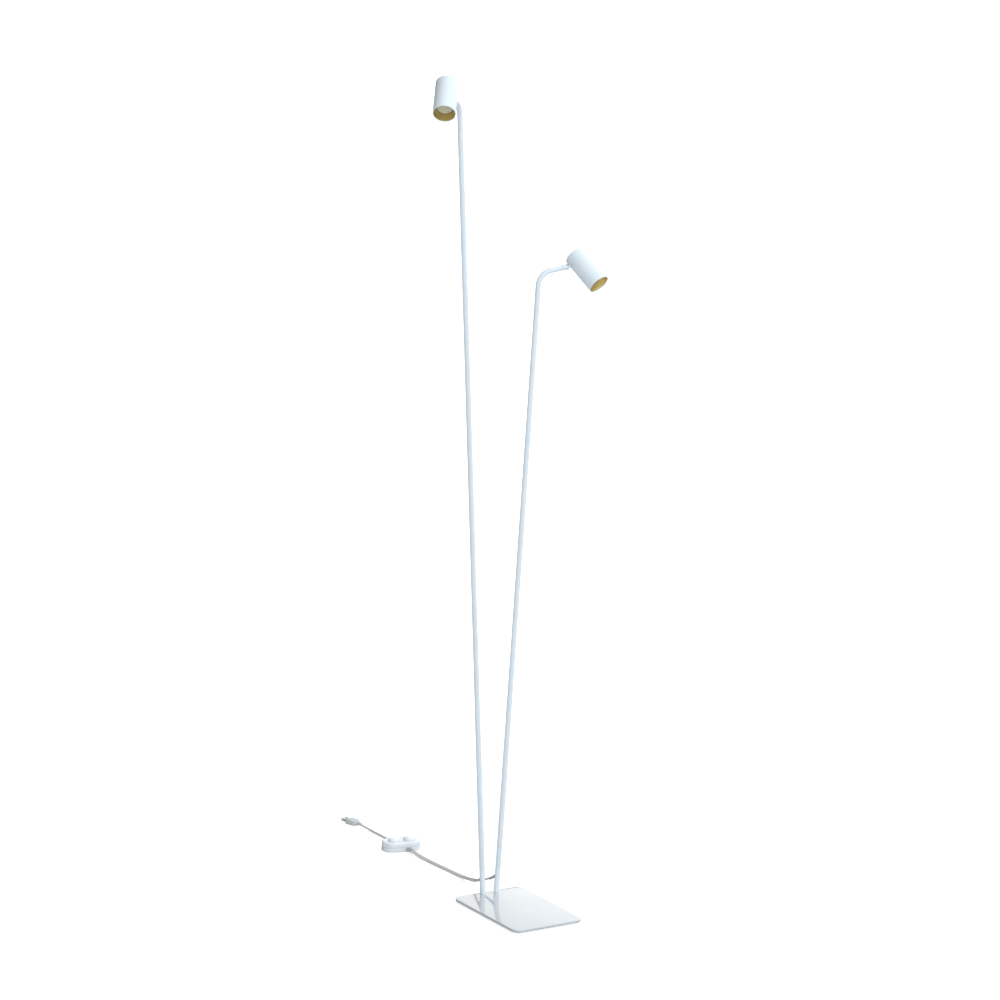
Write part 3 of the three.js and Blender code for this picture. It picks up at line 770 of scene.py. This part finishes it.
def addSwitch():
    place = switchPlace()
    seam, height, wall = switch["seam"], switch["height"], switch["wall"]
    edge, z = switch["width"] / 2, switch["cordHeight"]
    lower = stadium("switch_lower_shell", 0, seam)
    rimBevel(lower, 0, 1.2, 4)
    hollowed(lower, seam, 1, wall, seam - wall)
    slots = [(x, -edge, switch["leadSlot"], switch["leadTurn"]) for x in switch["leads"]]
    slots += [(switch["mains"], edge, switch["mainsSlot"], 0)]
    for x, y, radius, turn in slots:
        cut(lower, cylinder("slot", radius, -6, 6, 32, (90, 0, turn), (x, y, z)))
        throat = box("throat", (2 * radius - 0.06, 12, 6), (0, 0, 3))
        placed(throat, Matrix.Rotation(radians(turn), 4, "Z"))
        cut(lower, placed(throat, Matrix.Translation((x * mm, y * mm, z * mm))))
    softEdges(lower, 0.2, 2, 60)
    smooth(lower, 35)
    finishPiece(lower, place, base, switchAbs, "switch_plastic", "switch_base")

    upper = stadium("switch_upper_shell", seam + 0.3, height)
    rimBevel(upper, height, switch["crown"], 8)
    hollowed(upper, seam + 0.3, -1, wall, height - wall - seam - 0.3)
    for side in (-1, 1):
        middle = (side * switch["spread"], 0, 0)
        cut(upper, cylinder("well", switch["button"] + 0.5, 15, 30, 72, (0, 0, 0), middle))
    softEdges(upper, 0.35, 2, 60)
    smooth(upper, 35)
    finishPiece(upper, place, base, switchAbs, "switch_plastic", "switch_cover")

    r, low, rise = switch["button"], switch["domeBase"], switch["domeRise"]
    dome = [(0, 14.6), (3, 14.6), (3, 17.2), (13.4, 17.2), (13.4, 18.7), (r, 18.7), (r, low)]
    dome += [(r * cos(radians(a)) ** 0.75, low + rise * sin(radians(a))) for a in range(9, 90, 9)]
    dome += [(0, low + rise)]
    for name, side in (("high", -1), ("low", 1)):
        button = spun(f"button_dome_{name}", dome, 72)
        placed(button, Matrix.Translation((side * switch["spread"] * mm, 0, 0)))
        smooth(button, 40)
        finishPiece(button, place, f"button_{name}", buttonAbs, "button_plastic", f"switch_button_{name}")

    twin = [(0, -3), (2.5, -3), (2.5, 0.2), (3.1, 0.2), (3.1, 1.6), (2.9, 1.8)]
    twin += ribbed(2.6, 16.2, 5, 2.85, 2.55, 0.3) + [(2.45, 16.4), (2.45, 17.4), (2.3, 17.6), (0, 17.6)]
    for name, x in zip(("high", "low"), switch["leads"]):
        relief = spun(f"switch_relief_ribbed_{name}", twin, 36)
        turn = Matrix.Rotation(radians(switch["leadTurn"]), 4, "Z") @ Matrix.Rotation(radians(90), 4, "X")
        placed(relief, Matrix.Translation((x * mm, -edge * mm, z * mm)) @ turn)
        smooth(relief, 40)
        finishPiece(relief, place, base, pvcMoulded, "cord_sheath", f"switch_relief_{name}")
    single = [(0, -2), (2.9, -2), (2.9, 0.2), (3.5, 0.2), (3.5, 1.8), (3.3, 2)]
    single += ribbed(3, 19.4, 6, 3.25, 2.8, 0.35) + [(2.7, 19.6), (2.7, 20.8), (2.55, 21), (0, 21)]
    relief = spun("switch_relief_ribbed_mains", single, 36)
    atBack = Matrix.Translation((switch["mains"] * mm, edge * mm, z * mm))
    placed(relief, atBack @ Matrix.Rotation(radians(-90), 4, "X"))
    smooth(relief, 40)
    finishPiece(relief, place, base, pvcMoulded, "cord_sheath", "switch_relief_mains")


addSwitch()
print("foot switch made")


# Plug

plug = {"x": 1.5, "y": 642, "yaw": 17, "width": 22, "height": 11, "length": 27, "corner": 6.2, "edge": 1.7,
        "grooves": (8.5, 12, 15.5), "groove": 1, "socketSize": (1.9, 12, 6.7), "blade": 6.35,
        "bladeSize": (1.5, 22, 6.3), "bladeMiddle": 5.3, "bladeTip": 16.3, "bladeCorner": 1.6,
        "bladeHole": 1.3, "holeAt": 12.5}


def addPlug():
    turn = Matrix.Rotation(radians(plug["yaw"]), 4, "Z")
    place = Matrix.Translation((plug["x"] * mm, plug["y"] * mm, 0)) @ turn
    w, h, length = plug["width"], plug["height"], plug["length"]
    body = box("plug_body_moulded", (w, length, h), (0, length / 2, h / 2))
    pick(body, "EDGE", lambda a, b: a.y < 0.1 and b.y < 0.1 and abs(a.z - b.z) > 1)
    bpy.ops.mesh.bevel(offset=plug["corner"] * mm, segments=8, profile=0.5, affect="EDGES")
    closeEdit()
    pick(body, "EDGE", lambda a, b: abs(a.z - b.z) < 0.01)
    bpy.ops.mesh.bevel(offset=plug["edge"] * mm, segments=5, profile=0.5, affect="EDGES")
    closeEdit()
    for y in plug["grooves"]:
        for side in (-1, 1):
            beside = (side * (w / 2 + 0.3), y, h / 2)
            cut(body, cylinder("groove", plug["groove"], -8, 8, 24, (0, 0, 0), beside))
    for side in (-1, 1):
        cut(body, box("socket", plug["socketSize"], (side * plug["blade"], length, h / 2)))
    softEdges(body, 0.3, 2, 50)
    smooth(body, 35)
    finishPiece(body, place, base, plugPvc, "plug_plastic", "plug_body")

    for name, side in (("left", -1), ("right", 1)):
        x, tip = side * plug["blade"], length + plug["bladeTip"]
        middle = (x, length + plug["bladeMiddle"], h / 2)
        blade = box(f"plug_blade_formed_{name}", plug["bladeSize"], middle)
        pick(blade, "EDGE",
             lambda a, b: abs(a.y - tip) < 0.1 and abs(b.y - tip) < 0.1 and abs(a.z - b.z) < 0.1)
        bpy.ops.mesh.bevel(offset=plug["bladeCorner"] * mm, segments=5, profile=0.5, affect="EDGES")
        closeEdit()
        middle = (x, length + plug["holeAt"], h / 2)
        cut(blade, cylinder("hole", plug["bladeHole"], -3, 3, 24, (0, 90, 0), middle))
        softEdges(blade, 0.15, 2, 50)
        smooth(blade, 35)
        finishPiece(blade, place, base, nickelBrass, "blade_nickel", f"plug_blade_{name}")

    taper = [(0, -0.5), (3.8, -0.5), (3.8, 0.6)] + ribbed(1.2, 11, 4, 3.7, 2.9, 0.35)
    taper += [(2.8, 11.2), (2.8, 11.8), (2.6, 12), (0, 12)]
    relief = spun("plug_relief_ribbed", taper, 36)
    placed(relief, Matrix.Translation((0, 0, h / 2 * mm)) @ Matrix.Rotation(radians(90), 4, "X"))
    smooth(relief, 40)
    finishPiece(relief, place, base, plugPvc, "plug_plastic", "plug_relief")


addPlug()
print("plug made")

switchPieces = ["switch_lower_shell", "switch_upper_shell", "button_dome_high", "button_dome_low",
                "switch_relief_ribbed_mains", "switch_screw_left", "switch_screw_right", "contact_block_high",
                "contact_block_low", "button_spring_high", "button_spring_low"]
for name in ("high", "low"):
    withPieces = [f"lead_relief_ribbed_{name}", f"switch_relief_ribbed_{name}"]
    if name == "high":
        withPieces += switchPieces


# Floor and light

stage = {
    "sky": 1.38, "key": 8, "floorWidth": 120, "floorGlow": (0.55, 1.1), "glowReach": (0.8, 2.2),
    "ringAxis": (0.85, -0.35, 0.1), "keyPlace": (1.8, 2.6, 3.6), "keySize": (1.6, 1.6),
    "backPlace": (0.4, 7, 2.75), "backSize": (4.5, 3.5), "backRadiance": 0.75, "lightAim": (0, 0.2, 0.4),
    "ring": [(0.1, "2A2825"), (0.76, "F2FAFF"), (0.3, "A4A29E"), (0.47, "E2E7EB")],
}


def addStage():
    deselectAll()
    bpy.ops.mesh.primitive_plane_add(size=stage["floorWidth"], location=(0, 0, -0.0002))
    floor = named("studio_floor")
    material = bpy.data.materials.new("paleFloor")
    material.use_nodes = True
    surface = material.node_tree.nodes["Principled BSDF"]
    surface.inputs["Base Color"].default_value = linear("D5D6D8")
    surface.inputs["Roughness"].default_value = 0.12
    surface.inputs["Specular IOR Level"].default_value = 0.5
    surface.inputs["Emission Color"].default_value = linear("FFFFFF")
    # the floor looks bright without throwing more light up under the object
    seen = node(material.node_tree, "ShaderNodeLightPath")
    place = node(material.node_tree, "ShaderNodeTexCoord")
    away = node(material.node_tree, "ShaderNodeVectorMath", {"operation": "LENGTH"}, [(0, place, "Object")])
    near, far = stage["glowReach"]
    least, most = stage["floorGlow"]
    reach = node(material.node_tree, "ShaderNodeMapRange",
                 {"From Min": near, "From Max": far, "To Min": least, "To Max": most},
                 [("Value", away, "Value")])
    glow = node(material.node_tree, "ShaderNodeMath", {"operation": "MULTIPLY"},
                [(0, seen, "Is Camera Ray"), (1, reach, "Result")])
    material.node_tree.links.new(glow.outputs["Value"], surface.inputs["Emission Strength"])
    floor.data.materials.append(material)

    # soft box all round: white behind and to the right, grey to the left, so that white edges stand out
    aim = radians(camera["azimuth"])
    right = Vector((cos(aim), sin(aim), 0))
    away = Vector((-sin(aim), cos(aim), 0))

    def seenFrom(x, y, z):
        # right, away from the camera and up
        return right * x + away * y + Vector((0, 0, z))

    world = bpy.context.scene.world or bpy.data.worlds.new("studio")
    bpy.context.scene.world = world
    world.use_nodes = True
    tree = world.node_tree
    tree.nodes.clear()
    place = node(tree, "ShaderNodeTexCoord")
    across = node(tree, "ShaderNodeVectorMath", {"operation": "DOT_PRODUCT"}, [(0, place, "Generated")])
    across.inputs[1].default_value = seenFrom(*stage["ringAxis"]).normalized()
    ramp = node(tree, "ShaderNodeValToRGB")
    spread = node(tree, "ShaderNodeMapRange", {"From Min": -1.0}, [("Value", across, "Value")])
    tree.links.new(spread.outputs["Result"], ramp.inputs["Fac"])
    for i, (at, colour) in enumerate(stage["ring"]):
        stop = ramp.color_ramp.elements[i] if i < 2 else ramp.color_ramp.elements.new(at)
        stop.position = at
        stop.color = linear(colour)
    studio = node(tree, "ShaderNodeBackground", {"Strength": stage["sky"]}, [("Color", ramp, "Color")])
    plain = node(tree, "ShaderNodeBackground", {"Strength": 1.0})
    plain.inputs["Color"].default_value = linear("FFFFFF")
    seen = node(tree, "ShaderNodeLightPath")
    both = node(tree, "ShaderNodeMixShader", None,
                [(0, seen, "Is Camera Ray"), (1, studio, "Background"), (2, plain, "Background")])
    node(tree, "ShaderNodeOutputWorld", None, [("Surface", both, "Shader")])

    def addLight(name, place, size, power):
        deselectAll()
        bpy.ops.object.light_add(type="AREA", location=place)
        light = bpy.context.object
        light.name = name
        light.data.shape = "RECTANGLE"
        light.data.size, light.data.size_y = size
        light.data.energy = power
        light.visible_camera = False
        light.rotation_mode = "QUATERNION"
        light.rotation_quaternion = (Vector(stage["lightAim"]) - place).to_track_quat("-Z", "Y")

    addLight("key_light", seenFrom(*stage["keyPlace"]), stage["keySize"], stage["key"])
    width, height = stage["backSize"]
    addLight("back_softbox", seenFrom(*stage["backPlace"]), stage["backSize"],
             pi * width * height * stage["backRadiance"])
    bpy.context.scene.view_settings.view_transform = "Standard"


addStage()

print("scene made")
